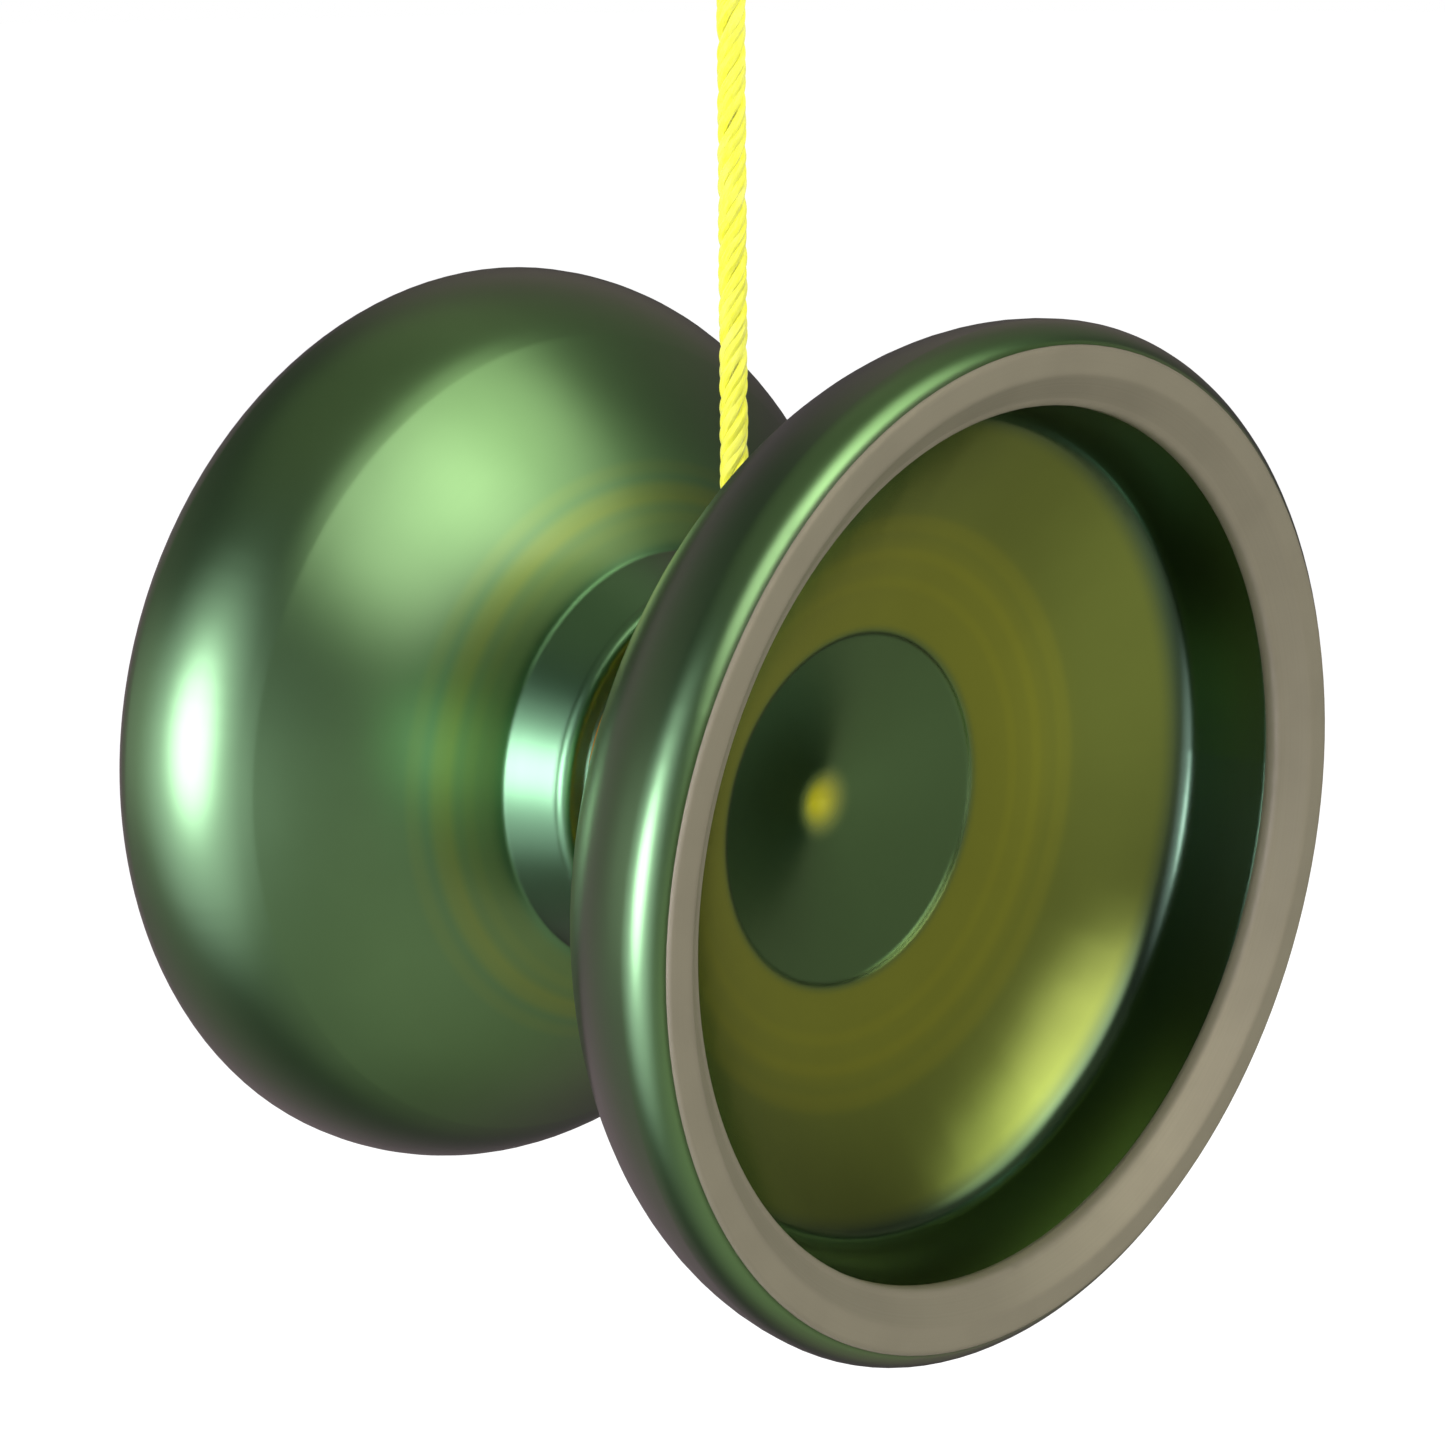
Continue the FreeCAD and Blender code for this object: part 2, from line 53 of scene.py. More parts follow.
def direction(azimuth, elevation):
    """The way to a point at that azimuth and elevation: azimuth 0 is +Y, and 90 is +X."""
    turn = math.radians(azimuth)
    rise = math.radians(elevation)
    level = math.cos(rise)
    return Vector((math.sin(turn) * level, math.cos(turn) * level, math.sin(rise)))


def add_to_scene(thing):
    bpy.context.scene.collection.objects.link(thing)
    return thing


def add_camera():
    """Look at the yo-yo from its front left and a little above, close by.

    The place, the aim, the roll and the lens show the rims, the hub and the string as the
    photograph does.
    """
    camera = add_to_scene(bpy.data.objects.new("camera", bpy.data.cameras.new("camera")))
    camera.data.sensor_width = 36.0
    camera.data.lens = 69.38
    camera.data.clip_start = 5 * MM
    camera.location = HUB + direction(-134.94, 16.02) * 158.3 * MM
    target = HUB + Vector((0.0, 1.07, 3.12)) * MM
    look = (target - camera.location).to_track_quat("-Z", "Y")
    roll = Matrix.Rotation(math.radians(-0.46), 4, "Z")
    camera.rotation_euler = (look.to_matrix().to_4x4() @ roll).to_euler()
    bpy.context.scene.camera = camera


add_camera()


# ------------------------------------------------------------------------------- mesh helpers


def new_piece(name, points, faces, body, replaced):
    """Make a mesh piece with smooth curves and crisp edges, which stands for a CAD node."""
    mesh = bpy.data.meshes.new(name)
    mesh.from_pydata(points, [], faces)
    mesh.shade_smooth()
    mesh.set_sharp_from_angle(angle=math.radians(40))
    piece = add_to_scene(bpy.data.objects.new(name, mesh))
    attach(piece, body)
    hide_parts(replaced)
    return piece


def ring_faces(rings, around, closed=False):
    """Faces between rings of points, each ring with that many points, numbered in order."""
    faces = []
    for ring in range(rings if closed else rings - 1):
        here, after = ring * around, (ring + 1) % rings * around
        for place in range(around):
            beside = (place + 1) % around
            faces.append((here + place, here + beside, after + beside, after + place))
    return faces


def on_axis(radius, height, turn):
    """The point at that distance from the spin axis, height along it and turn round it."""
    return HUB + Vector((radius * math.sin(turn), height, radius * math.cos(turn)))


# --------------------------------------------------------------------------------- the string

STRING_WIDTH = 1.6 * MM
LOOP_WIDTH = 0.9 * MM
STRING_LAY = 5.4 * MM  # length of one whole twist
LOOP_LAY = 3.2 * MM
LEAD_IN = 6  # diameters, from the end of a straight stretch to the point next to it
LEGS_JOIN = 2.2 * MM  # length over which the string narrows to the axle loop's two legs

# A yarn lies at an angle and a distance from the string's middle, and has its own radius. The
# string is two groups of three yarns round a core, and each leg of the axle loop is one group.
STRING_YARNS = [(angle, 0.313, 0.184) for angle in (-50, 0, 50, 130, 180, 230)] + [(0, 0.0, 0.19)]
LOOP_YARNS = [(angle, 0.265, 0.232) for angle in (0, 120, 240)]

string_low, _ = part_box("string")
knot_low, knot_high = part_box("slip_knot")
loop_low, loop_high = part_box("finger_loop")
axle_loop_low, axle_loop_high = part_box("axle_loop")
KNOT = (knot_low + knot_high) / 2


def route_line(route):
    """The points of the smooth line that has the route's points as its control points."""
    curve = bpy.data.curves.new("route", "CURVE")
    curve.dimensions = "3D"
    curve.resolution_u = 32
    spline = curve.splines.new("NURBS")
    spline.points.add(len(route) - 1)
    for point, place in zip(spline.points, route):
        point.co = (*place, 1.0)
    spline.order_u = 3
    spline.use_endpoint_u = True
    thing = bpy.data.objects.new("route", curve)
    line = bpy.data.meshes.new_from_object(thing)
    points = [vertex.co.copy() for vertex in line.vertices]
    bpy.data.objects.remove(thing)
    bpy.data.curves.remove(curve)
    bpy.data.meshes.remove(line)
    return points


def evenly(points, step):
    """Points about a step apart along a line, with its two ends."""
    lengths = [(after - before).length for before, after in zip(points, points[1:])]
    count = max(2, round(sum(lengths) / step))
    gap = sum(lengths) / count
    spaced = [points[0]]
    passed = 0.0
    for before, after, length in zip(points, points[1:], lengths):
        while len(spaced) < count and passed + length >= gap * len(spaced):
            share = (gap * len(spaced) - passed) / length
            spaced.append(before.lerp(after, share))
        passed += length
    return spaced + [points[-1]]


def sides_along(points, side):
    """Two directions across the line at each of its points, which turn only as it turns."""
    ahead = [(after - before).normalized() for before, after in zip(points, points[1:])]
    sides = []
    for way in ahead + ahead[-1:]:
        side = (side - way * side.dot(way)).normalized()
        sides.append((side, way.cross(side)))
    return sides


def wander(chance, waves, size):
    """A slow, uneven change along a length, at most size, made of waves 2 to 9 mm long."""
    parts = [(chance.uniform(2, 9) * MM, chance.uniform(0, math.tau)) for _ in range(waves)]

    def at(travel):
        total = sum(math.sin(math.tau * travel / length + start) for length, start in parts)
        return size * total / waves

    return at


def narrowed(travel, split):
    """The share of its full width that a cord has, which is least at its start."""
    if travel >= split:
        return 1.0
    least = 0.6
    return least + (1 - least) * math.sin(travel / split * math.pi / 2)


def twisted_cord(name, route, width, yarns, lay, side, body, replaced, split=0.0):
    """A cord of yarns that wind round its route, each with filaments that show as ridges.

    It narrows to its start over the length split, where it divides into a loop's two legs.
    """
    chance = random.Random(name)
    around = 15
    filaments = 5
    filament_turn = 3.1 * MM
    groove_depth = 0.12  # of the yarn's radius
    step = 0.16 * MM
    middle = evenly(route_line(route), step)
    across = sides_along(middle, side)
    travel = [index * step for index in range(len(middle))]
    narrow = [narrowed(gone, split) for gone in travel]
    points, faces, unrolled = [], [], []
    for angle, offset, radius in yarns:
        lean = wander(chance, 3, 0.16)  # radians
        swell = wander(chance, 4, 0.07)  # of the yarn's radius
        yarn = []
        for place, (right, up), gone, share in zip(middle, across, travel, narrow):
            turn = math.radians(angle) + math.tau * gone / lay + lean(gone)
            out = offset * width * share
            yarn.append(place + (right * math.cos(turn) + up * math.sin(turn)) * out)
        first = len(points)
        for place, (right, up), gone, share in zip(yarn, sides_along(yarn, side), travel, narrow):
            for number in range(around):
                turn = math.tau * number / around
                wave = math.cos(filaments * turn - math.tau * gone / filament_turn)
                groove = groove_depth * (1 - wave) / 2
                reach = radius * width * share * (1 - groove + swell(gone))
                points.append(place + (right * math.cos(turn) + up * math.sin(turn)) * reach)
                unrolled.append((number / around, gone / MM + angle))
        skin = ring_faces(len(yarn), around)
        ends = [tuple(range(around))[::-1], tuple(range(len(points) - first))[-around:]]
        faces += [tuple(first + corner for corner in face) for face in skin + ends]
    piece = new_piece(name, points, faces, body, replaced)
    strand = piece.data.uv_layers.new(name="strand")
    for loop in piece.data.loops:
        strand.data[loop.index].uv = unrolled[loop.vertex_index]
    return piece, middle


def round_route(centre, bend, away, meeting, width, corners):
    """Down one leg, round a circle and back up the other leg, which meets the first one.

    The circle is in the XZ plane, away is +1 or -1 for legs that go up or down from it, and
    meeting is the distance of the legs' ends from its centre, along Z.
    """
    beside = width / 2
    lean = math.atan2(beside, meeting) + math.acos(bend / math.hypot(beside, meeting))
    half = (math.pi - lean) / corners
    turned = [lean + half * (2 * number + 1) for number in range(corners)]
    out = bend / math.cos(half)
    bends = [Vector((math.sin(turn), 0, away * math.cos(turn))) * out for turn in turned]
    start = Vector((beside, 0, away * meeting))
    lead_in = bends[0] + (start - bends[0]).normalized() * LEAD_IN * width
    leg = [start, lead_in]
    back = [Vector((-place.x, 0, place.z)) for place in reversed(leg)]
    return [centre + place for place in leg + bends + back]


def knot_route():
    """The string's tail, wound round the string, with both its ends tucked into the middle."""
    turns = 2.1
    points_per_turn = 14
    rise = knot_high.z - knot_low.z - STRING_WIDTH
    out = (knot_high.x - knot_low.x) / 2 - STRING_WIDTH / 2
    steps = round(turns * points_per_turn)
    low = KNOT - Vector((0, 0, rise / 2))
    high = KNOT + Vector((0, 0, rise / 2))
    route = [low]
    for number in range(steps + 1):
        turn = math.tau * turns * number / steps
        place = Vector((out * math.cos(turn), out * math.sin(turn), rise * number / steps))
        route.append(low + place)
    return route + [high]


across_x, across_y = Vector((1, 0, 0)), Vector((0, 1, 0))

knot, _ = twisted_cord(
    "tied_knot", knot_route(), STRING_WIDTH, STRING_YARNS, STRING_LAY, Vector((0, 0, 1)),
    "string_side", "slip_knot",
)

foot = Vector((0, 0, string_low.z))
head = Vector((0, 0, KNOT.z))
run = [foot, foot + Vector((0, 0, LEAD_IN * STRING_WIDTH)), head]
taut, taut_line = twisted_cord(
    "taut_string", run, STRING_WIDTH, STRING_YARNS, STRING_LAY, across_x, "string_side", "string",
    split=LEGS_JOIN,
)

axle_bend = (axle_loop_high.x - axle_loop_low.x - LOOP_WIDTH) / 2
axle_route = round_route(HUB, axle_bend, 1, string_low.z - HUB.z, LOOP_WIDTH, 6)
around_axle, axle_line = twisted_cord(
    "string_round_axle", axle_route, LOOP_WIDTH, LOOP_YARNS, LOOP_LAY, across_y,
    "string_side", "axle_loop",
)

finger_bend = (loop_high.x - loop_low.x - STRING_WIDTH) / 2
finger_route = round_route(Vector(), finger_bend, -1, -KNOT.z, STRING_WIDTH, 8)
for_finger, finger_line = twisted_cord(
    "loop_for_finger", finger_route, STRING_WIDTH, STRING_YARNS, STRING_LAY, across_y,
    "string_side", "finger_loop",
)


# ------------------------------------------------------------------------------ axle and pads

PAD_INNER = 7.15 * MM
PAD_EDGE = 0.28 * MM
PAD_CROWN = 0.05 * MM
THREAD_PITCH = 0.7 * MM
THREAD_DEPTH = 0.43 * MM
END_CHAMFER = 0.4 * MM
SOCKET_WIDTH = 2.0 * MM
SOCKET_DEPTH = 2.2 * MM
SOCKET_LEAD = 0.12 * MM
DRILL_POINT = 0.3 * MM
DIMPLE_RADIUS = 1.2 * MM
DIMPLE_FLOOR_RADIUS = 1.1 * MM
DIMPLE_DEPTH = 0.15 * MM
DIMPLE_POINT = 0.2 * MM


def add_pad(node, body):
    """A moulded silicone ring: rounded edges, and a face that is raised a little in its middle."""
    low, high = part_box(node)
    outer = (high.x - low.x) / 2
    front = low.y < HUB.y
    gap_side, seat_side = (high.y, low.y) if front else (low.y, high.y)
    inward = 1 if seat_side > gap_side else -1
    profile = [(PAD_INNER, seat_side), (outer, seat_side)]
    corner_steps = 5
    for middle, start in ((outer - PAD_EDGE, 0), (PAD_INNER + PAD_EDGE, 90)):
        for number in range(corner_steps + 1):
            turn = math.radians(start + 90 * number / corner_steps)
            deep = PAD_EDGE * (1 - math.sin(turn)) + PAD_CROWN
            profile.append((middle + PAD_EDGE * math.cos(turn), gap_side + inward * deep))
        if start == 0:
            profile.append(((outer + PAD_INNER) / 2, gap_side))
    around = 120
    points = [
        on_axis(radius, height - HUB.y, math.tau * number / around)
        for radius, height in profile
        for number in range(around)
    ]
    faces = ring_faces(len(profile), around, closed=True)
    return new_piece(f"moulded_{node}", points, faces, body, node)


def thread_radius(height, turn, outer):
    """How far a right-hand 60 degree thread reaches from its axis, at that height and turn."""
    crest = THREAD_PITCH / 8
    phase = (height / THREAD_PITCH - turn / math.tau) % 1.0
    from_crest = abs(phase - 0.5) * THREAD_PITCH
    flank = outer - max(0.0, from_crest - crest / 2) * math.tan(math.radians(60))
    return max(flank, outer - THREAD_DEPTH)


def threaded_rings(low, high, turns):
    """The rings of a screw's threaded outside, with both its ends chamfered."""
    outer = (high.x - low.x) / 2
    along = 200
    rings = []
    for number in range(along + 1):
        share = number / along
        height = low.y + (high.y - low.y) * share
        from_end = min(height - low.y, high.y - height)
        limit = outer - max(0.0, END_CHAMFER - from_end)
        rings.append([(min(thread_radius(height, turn, outer), limit), height) for turn in turns])
    return rings


def add_axle():
    """A headless screw, threaded along its whole length.

    It has a hexagon socket in its front end and a shallow dimple in its rear end.
    """
    low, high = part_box("axle")
    around = 72
    turns = [math.tau * number / around for number in range(around)]
    rings = threaded_rings(low, high, turns)
    to_flat = SOCKET_WIDTH / 2
    sixth = math.radians(60)
    socket = [to_flat / math.cos(turn % sixth - sixth / 2) for turn in turns]
    floor = low.y + SOCKET_DEPTH
    rings.insert(0, [(radius + SOCKET_LEAD, low.y) for radius in socket])
    rings.insert(0, [(radius, low.y + SOCKET_LEAD) for radius in socket])
    rings.insert(0, [(radius, floor) for radius in socket])
    rings.append([(DIMPLE_RADIUS, high.y) for _ in turns])
    rings.append([(DIMPLE_FLOOR_RADIUS, high.y - DIMPLE_DEPTH) for _ in turns])
    points = []
    for ring in rings:
        points += [on_axis(radius, height - HUB.y, turn) for (radius, height), turn in zip(ring, turns)]
    faces = ring_faces(len(rings), around)
    tip = len(points)
    points.append(on_axis(0, floor + DRILL_POINT - HUB.y, 0))
    points.append(on_axis(0, high.y - DIMPLE_POINT - HUB.y, 0))
    last = (len(rings) - 1) * around
    for place in range(around):
        beside = (place + 1) % around
        faces.append((beside, place, tip))
        faces.append((last + place, last + beside, tip + 1))
    return new_piece("threaded_axle", points, faces, "axle_screw", "axle")


front_pad = add_pad("front_response_pad", "front_side")
rear_pad = add_pad("rear_response_pad", "spinner")
threaded_axle = add_axle()


# ------------------------------------------------------------------------------- node helpers


class Nodes:
    """A node tree, with short ways to add the nodes that the materials use."""

    def __init__(self, owner):
        owner.use_nodes = True
        self.tree = owner.node_tree
        self.tree.nodes.clear()

    def add(self, kind, inputs=(), **settings):
        """Add a node. inputs maps a socket's name or number to a value or to another socket."""
        node = self.tree.nodes.new(kind)
        for name, value in settings.items():
            setattr(node, name, value)
        for socket, value in dict(inputs).items():
            self.feed(node.inputs[socket], value)
        return node

    def feed(self, socket, value):
        if isinstance(value, bpy.types.NodeSocket):
            self.tree.links.new(value, socket)
        else:
            socket.default_value = value

    def math(self, operation, *values):
        node = self.add("ShaderNodeMath", enumerate(values), operation=operation)
        return node.outputs[0]

    def vector(self, operation, *values):
        node = self.add("ShaderNodeVectorMath", enumerate(values), operation=operation)
        return node.outputs["Value" if operation in ("DOT_PRODUCT", "LENGTH") else "Vector"]

    def ramp(self, value, start, end, low=0.0, high=1.0):
        """Run smoothly from low, where the value is at start, to high, where it is at end."""
        inputs = {
            "Value": value, "From Min": start, "From Max": end, "To Min": low, "To Max": high
        }
        node = self.add("ShaderNodeMapRange", inputs, interpolation_type="SMOOTHSTEP")
        return node.outputs["Result"]

    def mix(self, share, first, second):
        node = self.add("ShaderNodeMix", data_type="RGBA")
        for number, value in ((0, share), (6, first), (7, second)):
            self.feed(node.inputs[number], value)
        return node.outputs[2]

    def noise(self, where, scale, detail=2.0, dimensions="3D"):
        socket = "W" if dimensions == "1D" else "Vector"
        inputs = {socket: where, "Scale": scale, "Detail": detail}
        node = self.add("ShaderNodeTexNoise", inputs, noise_dimensions=dimensions)
        return node.outputs["Fac"]

    def eased(self, radius):
        """The surface's facing, with its edges eased over that radius."""
        return self.add("ShaderNodeBevel", {"Radius": radius}, samples=6).outputs["Normal"]

    def bump(self, height, distance, facing=None):
        inputs = {"Height": height, "Distance": distance}
        if facing:
            inputs["Normal"] = facing
        return self.add("ShaderNodeBump", inputs).outputs["Normal"]


def colour(red, green, blue):
    return (red, green, blue, 1.0)


def new_material(name):
    material = bpy.data.materials.new(name)
    return material, Nodes(material)


def principled(tree, **inputs):
    """Add the surface shader. Names use _ for the spaces in its sockets' names."""
    values = {name.replace("_", " "): value for name, value in inputs.items()}
    shader = tree.add("ShaderNodeBsdfPrincipled", values)
    output = tree.add("ShaderNodeOutputMaterial")
    tree.tree.links.new(shader.outputs["BSDF"], output.inputs["Surface"])
    return shader


def turned_places(tree):
    """Each point's distance from the spin axis and its height along it, in millimetres."""
    place = tree.add("ShaderNodeTexCoord").outputs["Object"]
    from_hub = tree.vector("SUBTRACT", place, HUB)
    axes = tree.add("ShaderNodeSeparateXYZ", {0: from_hub}).outputs
    across = tree.math("POWER", axes["X"], 2.0)
    up = tree.math("POWER", axes["Z"], 2.0)
    distance = tree.math("SQRT", tree.math("ADD", across, up))
    radius = tree.math("DIVIDE", distance, MM)
    height = tree.math("DIVIDE", tree.math("ABSOLUTE", axes["Y"]), MM)
    return from_hub, radius, height


def turned_lines(tree, radius, height, lines_per_mm):
    """Fine tool marks that run round the spin axis, from 0 to 1."""
    along_profile = tree.math("ADD", radius, tree.math("MULTIPLY", height, 0.8))
    return tree.noise(along_profile, lines_per_mm, 3.0, "1D")


# ---------------------------------------------------------------------------------- materials

FLARE_GREEN = colour(0.18, 0.36, 0.15)
# A bluer green that is painted shade on the hub, between the halves.
HUB_SHADE_GREEN = colour(0.13, 0.35, 0.17)
DISH_GREEN = colour(0.125, 0.25, 0.105)
BOWL_OLIVE = colour(0.25, 0.33, 0.06)
# A dark green that is painted shade on the cup's undercut wall.
WALL_PAINTED_SHADE = colour(0.08, 0.155, 0.085)
BAND_YELLOW = colour(0.46, 0.50, 0.04)
SPOT_YELLOW = colour(0.50, 0.47, 0.01)
SKIN = colour(0.30, 0.26, 0.26)

# Radii on a half and the least height of its cup along the axis, in millimetres.
CUP_RADIUS = 23.6
WALL_FOOT_RADIUS = 21.2
HUB_RADIUS = 12.4
DISH_RADIUS = 10.0
SPOT_RADIUS = 2.4
CUP_LEAST_HEIGHT = 5.5


def band(tree, radius, middle, half_width, soft):
    """A soft ring round the axis: 1 at its middle, 0 outside."""
    away = tree.math("ABSOLUTE", tree.math("SUBTRACT", radius, middle))
    return tree.ramp(away, half_width + soft, half_width)


def cup_share(tree, place, radius, height):
    """1 on the surface of a half's open cup, and 0 on the rest of the half."""
    # The cup's surface faces away from the middle of the yo-yo, and the flare's towards it.
    facing = tree.add("ShaderNodeTexCoord").outputs["Normal"]
    along = tree.vector("MULTIPLY", facing, place)
    outward = tree.add("ShaderNodeSeparateXYZ", {0: along}).outputs["Y"]
    in_cup = tree.ramp(outward, -0.05 * MM, 0.05 * MM)
    within = tree.ramp(radius, CUP_RADIUS + 0.2, CUP_RADIUS - 0.2)
    beyond = tree.ramp(height, CUP_LEAST_HEIGHT - 0.3, CUP_LEAST_HEIGHT + 0.3)
    return tree.math("MULTIPLY", tree.math("MULTIPLY", in_cup, within), beyond)


def anodised_tint(tree, radius, in_cup, on_flare, dish, spot):
    """Green outside and olive in the cup, with soft yellow bands on both, painted shade on the cup's
    steep wall, and a bluish painted shade on the hub.
    """
    tint = tree.mix(in_cup, FLARE_GREEN, BOWL_OLIVE)
    # The cup's steep wall under the rim ring is painted dark green: painted shade of the undercut.
    wall_shade = tree.ramp(radius, WALL_FOOT_RADIUS, WALL_FOOT_RADIUS + 1.3)
    tint = tree.mix(tree.math("MULTIPLY", in_cup, wall_shade), tint, WALL_PAINTED_SHADE)
    # Each band has its side, the radius of its middle, its half width, how wide its soft edges
    # are, and how strong it is.
    bands = [
        (in_cup, 12.4, 1.4, 3.6, 0.5),
        (in_cup, 12.7, 0.1, 0.4, 0.25),
        (in_cup, 14.3, 0.1, 0.4, 0.25),
        (in_cup, 16.0, 0.2, 0.5, 0.25),
        (on_flare, 14.2, 0.9, 0.9, 0.12),
        (on_flare, 14.1, 0.1, 0.4, 0.08),
        (on_flare, 15.5, 0.25, 0.6, 0.25),
        (on_flare, 16.9, 0.1, 0.5, 0.10),
    ]
    for side, middle, half_width, soft, strength in bands:
        share = tree.math("MULTIPLY", band(tree, radius, middle, half_width, soft), strength)
        tint = tree.mix(tree.math("MULTIPLY", share, side), tint, BAND_YELLOW)
    # The hub is tinted a bluer green: painted bluish shade between the halves.
    hub = tree.ramp(radius, HUB_RADIUS + 0.5, HUB_RADIUS, 0.0, 0.5)
    tint = tree.mix(tree.math("MULTIPLY", on_flare, hub), tint, HUB_SHADE_GREEN)
    tint = tree.mix(dish, tint, DISH_GREEN)
    return tree.mix(spot, tint, SPOT_YELLOW)


def anodised_green():
    """Satin green anodising over fine turned lines."""
    material, tree = new_material("anodised_green")
    place, radius, height = turned_places(tree)
    lines = turned_lines(tree, radius, height, 3.5)
    in_cup = cup_share(tree, place, radius, height)
    on_flare = tree.math("SUBTRACT", 1.0, in_cup)
    dish = tree.ramp(radius, DISH_RADIUS + 0.4, DISH_RADIUS - 0.4)
    dish = tree.math("MULTIPLY", in_cup, dish)
    spot = tree.math("MULTIPLY", in_cup, tree.ramp(radius, SPOT_RADIUS, 0.2))
    tint = anodised_tint(tree, radius, in_cup, on_flare, dish, spot)
    shade = tree.ramp(tree.noise(place, 90.0, 3.0), 0.3, 0.7, 0.94, 1.03)
    shaded = tree.add("ShaderNodeMix", {0: 1.0, 6: tint}, data_type="RGBA", blend_type="MULTIPLY")
    tree.feed(shaded.inputs[7], shade)

    # The clear skin of the anodising greys the colour where it is seen from the side.
    slant = tree.add("ShaderNodeLayerWeight", {"Blend": 0.5}).outputs["Facing"]
    skin = tree.math("MULTIPLY", tree.ramp(slant, 0.35, 0.9, 0.0, 0.8), on_flare)

    # The flare is more matt than the cup, most of all near the hub, where the string rubs it.
    rubbed = tree.math("MULTIPLY", tree.ramp(radius, 22.0, 15.0, 0.0, 0.10), on_flare)
    matt = tree.math("MULTIPLY", rubbed, tree.ramp(radius, HUB_RADIUS, HUB_RADIUS + 0.8))
    matt = tree.math("ADD", matt, tree.math("MULTIPLY", on_flare, 0.085))
    matt = tree.math("ADD", matt, tree.math("MULTIPLY", dish, 0.05))
    principled(
        tree,
        Base_Color=tree.mix(skin, shaded.outputs[2], SKIN),
        Metallic=tree.math("SUBTRACT", 1.0, tree.math("MULTIPLY", spot, 0.8)),
        Roughness=tree.math("ADD", tree.ramp(lines, 0.2, 0.8, 0.20, 0.215), matt),
        Coat_Weight=0.4,
        Coat_IOR=1.6,
        Coat_Roughness=0.18,
        Normal=tree.bump(lines, 0.00012 * MM, tree.eased(0.4 * MM)),
    )
    return material


def turned_metal(name, tint, smooth, rough, lines_per_mm, depth, metallic=1.0):
    """Bare metal with tool marks round the axis, and a little cloudiness in its polish."""
    material, tree = new_material(name)
    place, radius, height = turned_places(tree)
    lines = turned_lines(tree, radius, height, lines_per_mm)
    cloud = tree.noise(place, 240.0, 4.0)
    darker = colour(*(0.93 * part for part in tint[:3]))
    principled(
        tree,
        Base_Color=tree.mix(tree.ramp(cloud, 0.35, 0.75), tint, darker),
        Metallic=metallic,
        Roughness=tree.ramp(lines, 0.2, 0.8, smooth, rough),
        Normal=tree.bump(lines, depth * MM, tree.eased(0.5 * MM)),
    )
    return material


def silicone():
    """Amber silicone, a little cloudy, with the fine grain of its mould."""
    material, tree = new_material("silicone")
    place, _, _ = turned_places(tree)
    cloud = tree.noise(place, 400.0, 2.0)
    grain = tree.noise(place, 9000.0, 2.0)
    light = colour(0.90, 0.52, 0.05)
    deep = colour(0.74, 0.36, 0.02)
    principled(
        tree,
        Base_Color=tree.mix(cloud, deep, light),
        Roughness=tree.ramp(grain, 0.3, 0.7, 0.42, 0.6),
        Subsurface_Weight=0.25,
        Subsurface_Radius=(1.0, 0.5, 0.1),
        Subsurface_Scale=0.4 * MM,
        Normal=tree.bump(grain, 0.01 * MM),
    )
    return material


def polyester():
    """Bright yellow polyester yarn: fine fibres along each strand, and a soft sheen."""
    material, tree = new_material("polyester")
    along_strand = tree.add("ShaderNodeUVMap", uv_map="strand").outputs["UV"]
    fibre_shape = tree.add("ShaderNodeMapping", {0: along_strand, "Scale": (26.0, 1.6, 1.0)})
    fibres = tree.noise(fibre_shape.outputs[0], 1.0, 3.0)
    blotch = tree.noise(along_strand, 0.35, 2.0)
    bright = colour(1.0, 1.0, 0.12)
    deep = colour(0.93, 0.92, 0.05)
    tint = tree.mix(tree.ramp(fibres, 0.35, 0.65), deep, bright)
    pale = colour(0.98, 0.98, 0.26)
    principled(
        tree,
        Base_Color=tree.mix(tree.ramp(blotch, 0.45, 0.75, 0.0, 0.5), tint, pale),
        Roughness=0.62,
        Sheen_Weight=0.35,
        Sheen_Roughness=0.4,
        Subsurface_Weight=0.3,
        Subsurface_Radius=(1.0, 1.0, 0.2),
        Subsurface_Scale=0.3 * MM,
        Normal=tree.bump(fibres, 0.015 * MM),
    )
    return material


def paint(thing, material):
    """Give a piece its one material."""
    thing.data.materials.clear()
    thing.data.materials.append(material)


green = anodised_green()
rim_metal = turned_metal("rim_metal", colour(0.29, 0.265, 0.19), 0.50, 0.58, 7.0, 0.001, 0.45)
race_steel = turned_metal("race_steel", colour(0.72, 0.72, 0.74), 0.10, 0.2, 30.0, 0.0004)
ball_steel = turned_metal("ball_steel", colour(0.80, 0.80, 0.82), 0.03, 0.06, 2.0, 0.0001)
sheet_steel = turned_metal("sheet_steel", colour(0.64, 0.64, 0.64), 0.25, 0.4, 12.0, 0.001)
spring_steel = turned_metal("spring_steel", colour(0.42, 0.42, 0.44), 0.25, 0.4, 12.0, 0.001)
black_steel = turned_metal("black_steel", colour(0.16, 0.16, 0.17), 0.3, 0.45, 12.0, 0.001)
amber = silicone()
yellow = polyester()

for side in ("front", "rear"):
    paint(nodes[f"{side}_half"], green)
    paint(nodes[f"{side}_rim_ring"], rim_metal)
    paint(nodes[f"{side}_cage_half"], sheet_steel)
    paint(nodes[f"{side}_bearing_shield"], sheet_steel)
    paint(nodes[f"{side}_snap_ring"], spring_steel)
paint(nodes["bearing_inner_race"], race_steel)
paint(nodes["bearing_outer_race"], race_steel)
paint(nodes["bearing_balls"], ball_steel)
paint(threaded_axle, black_steel)
for pad in (front_pad, rear_pad):
    paint(pad, amber)
for piece in (taut, around_axle, for_finger, knot):
    paint(piece, yellow)
    piece.visible_glossy = False  # the satin metal shows no image of so thin a string


# ------------------------------------------------------------------------------------- studio


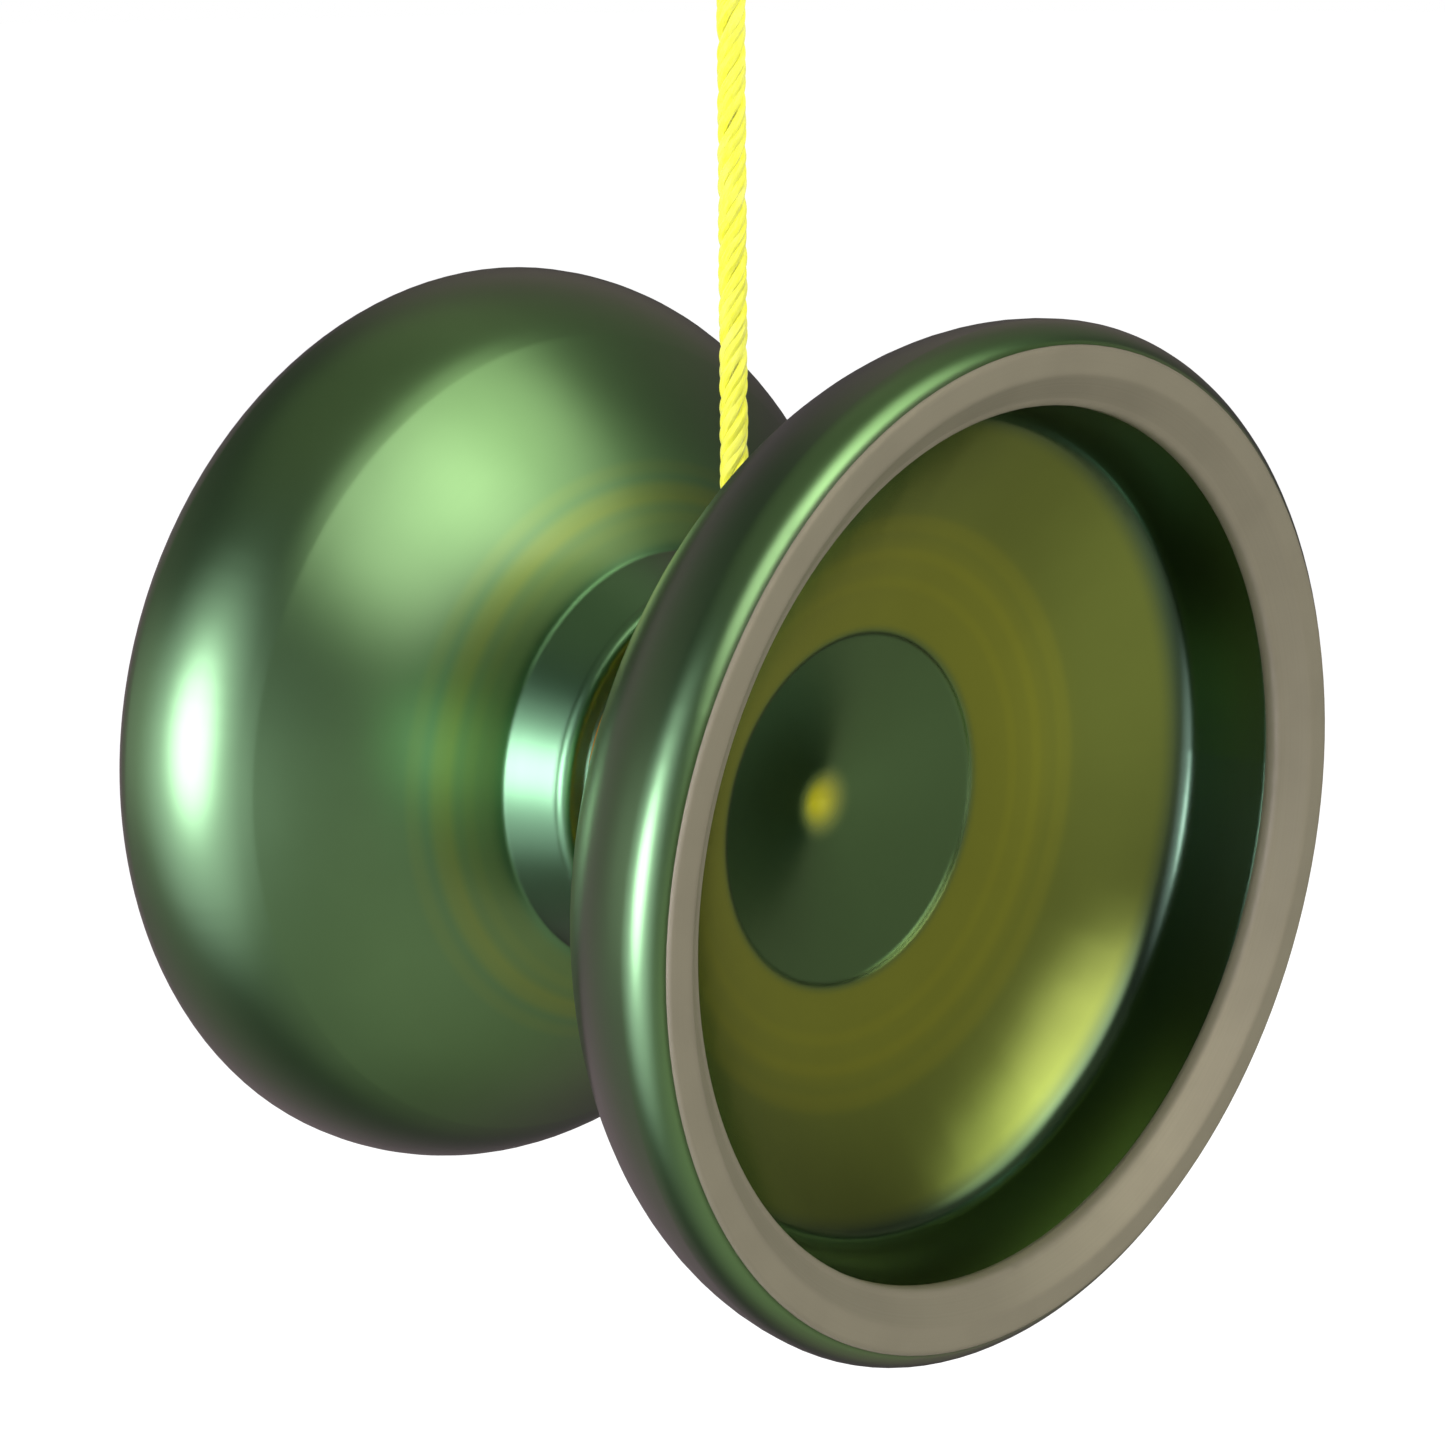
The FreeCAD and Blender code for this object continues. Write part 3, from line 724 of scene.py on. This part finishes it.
def softbox(name, azimuth, elevation, distance, width, height, radiance):
    """A soft square lamp that faces the yo-yo. The studio cloth holds its reflected image."""
    lamp = bpy.data.lights.new(name, "AREA")
    lamp.shape = "RECTANGLE"
    lamp.size = width
    lamp.size_y = height
    lamp.energy = radiance * math.pi * width * height
    thing = add_to_scene(bpy.data.objects.new(name, lamp))
    thing.location = HUB + direction(azimuth, elevation) * distance
    thing.rotation_euler = (HUB - thing.location).to_track_quat("-Z", "Y").to_euler()
    thing.visible_glossy = False


def seen_rays(tree):
    """1 for the rays that see the background: the camera's, a gloss's and a clear thing's."""
    path = tree.add("ShaderNodeLightPath").outputs
    glossy = tree.math("ADD", path["Is Glossy Ray"], path["Is Transmission Ray"])
    return tree.math("MINIMUM", tree.math("ADD", path["Is Camera Ray"], glossy), 1.0)


def add_floor():
    """A pale floor well below the hanging yo-yo, white where the camera or a gloss sees it."""
    mesh = bpy.data.meshes.new("floor")
    reach = 30.0
    corners = [(-reach, -reach), (reach, -reach), (reach, reach), (-reach, reach)]
    drop = 0.36
    level = HUB.z - drop
    mesh.from_pydata([(x, y, level) for x, y in corners], [], [(0, 1, 2, 3)])
    floor = add_to_scene(bpy.data.objects.new("floor", mesh))
    material, tree = new_material("pale_floor")
    seen = seen_rays(tree)
    surface = tree.add("ShaderNodeBsdfDiffuse", {"Color": colour(0.8, 0.8, 0.8)})
    glow = tree.add("ShaderNodeEmission", {"Strength": tree.math("MULTIPLY", seen, 0.40)})
    both = tree.add("ShaderNodeAddShader", {0: surface.outputs[0], 1: glow.outputs[0]})
    tree.add("ShaderNodeOutputMaterial", {"Surface": both.outputs[0]})
    material.cycles.emission_sampling = "NONE"
    paint(floor, material)


def add_world():
    """White all round, and a softer white as the light that it gives."""
    world = bpy.data.worlds.new("studio")
    bpy.context.scene.world = world
    tree = Nodes(world)
    strength = tree.ramp(seen_rays(tree), 0.0, 1.0, 0.8, 1.0)
    sky = tree.add("ShaderNodeBackground", {"Color": colour(1, 1, 1), "Strength": strength})
    tree.add("ShaderNodeOutputWorld", {"Surface": sky.outputs[0]})
    world.cycles.sampling_method = "NONE"


def cloth_dome():
    """A closed dome round the yo-yo, which only reflected rays see."""
    rings, sectors = 24, 48
    reach = 1.2
    squat = 0.2  # flattens the lower half, so that it stays above the floor
    mesh = bpy.data.meshes.new("flags")
    points = []
    for ring in range(rings + 1):
        elevation = 90 - 180 * ring / rings
        for sector in range(sectors):
            place = direction(360 * sector / sectors, elevation) * reach
            place.z *= squat if place.z < 0 else 1.0
            points.append(HUB + place)
    mesh.from_pydata(points, [], ring_faces(rings + 1, sectors))
    dome = add_to_scene(bpy.data.objects.new("flags", mesh))
    dome.visible_camera = False
    dome.visible_diffuse = False
    dome.visible_shadow = False
    dome.visible_transmission = False
    return dome


def studio_cloth():
    """Dark cloth, with the soft lamps' glow on it.

    Each patch of glow is azimuth, elevation, the angles at which it is full and has faded out,
    and its colour, which adds to the cloth's.
    """
    patches = [
        (-94, 1, 3, 22, (6.0, 5.8, 7.2)),
        (-96, -4, 8, 48, (1.2, 1.1, 1.45)),
        (-52, 0, 4, 24, (0.30, 0.28, 0.30)),
        (156, 43, 3, 25, (1.64, 1.6, 1.3)),
        (-176, 33, 3, 27, (2.2, 2.0, 1.9)),
        (-150, -32, 15, 55, (0.16, 0.15, 0.14)),
        (155, -30, 20, 70, (0.24, 0.22, 0.15)),
        (-120, 86, 15, 46, (0.13, 0.12, 0.08)),
        (-15, -20, 20, 65, (0.16, 0.12, 0.13)),
        (65, 45, 15, 45, (0.12, 0.10, 0.08)),
    ]
    material, tree = new_material("studio_cloth")
    place = tree.add("ShaderNodeTexCoord").outputs["Object"]
    away = tree.vector("NORMALIZE", tree.vector("SUBTRACT", place, HUB))
    total = (0.075, 0.070, 0.072)
    for azimuth, elevation, full, gone, tint in patches:
        facing = tree.vector("DOT_PRODUCT", away, direction(azimuth, elevation))
        inner, outer = math.cos(math.radians(full)), math.cos(math.radians(gone))
        share = tree.ramp(facing, outer, inner)
        scaled = tree.add("ShaderNodeVectorMath", {0: tint, "Scale": share}, operation="SCALE")
        total = tree.vector("ADD", total, scaled.outputs[0])
    glow = tree.add("ShaderNodeEmission", {"Color": total, "Strength": 1.0})
    tree.add("ShaderNodeOutputMaterial", {"Surface": glow.outputs[0]})
    material.cycles.emission_sampling = "NONE"
    return material


def add_flags():
    flags = cloth_dome()
    paint(flags, studio_cloth())


bpy.context.scene.view_settings.view_transform = "Standard"
softbox(
    "side_softbox", azimuth=-92, elevation=0, distance=0.60, width=0.42, height=0.36,
    radiance=4.6,
)
softbox(
    "front_softbox", azimuth=171, elevation=38, distance=0.75, width=0.84, height=0.56,
    radiance=2.1,
)
add_world()
add_floor()
add_flags()
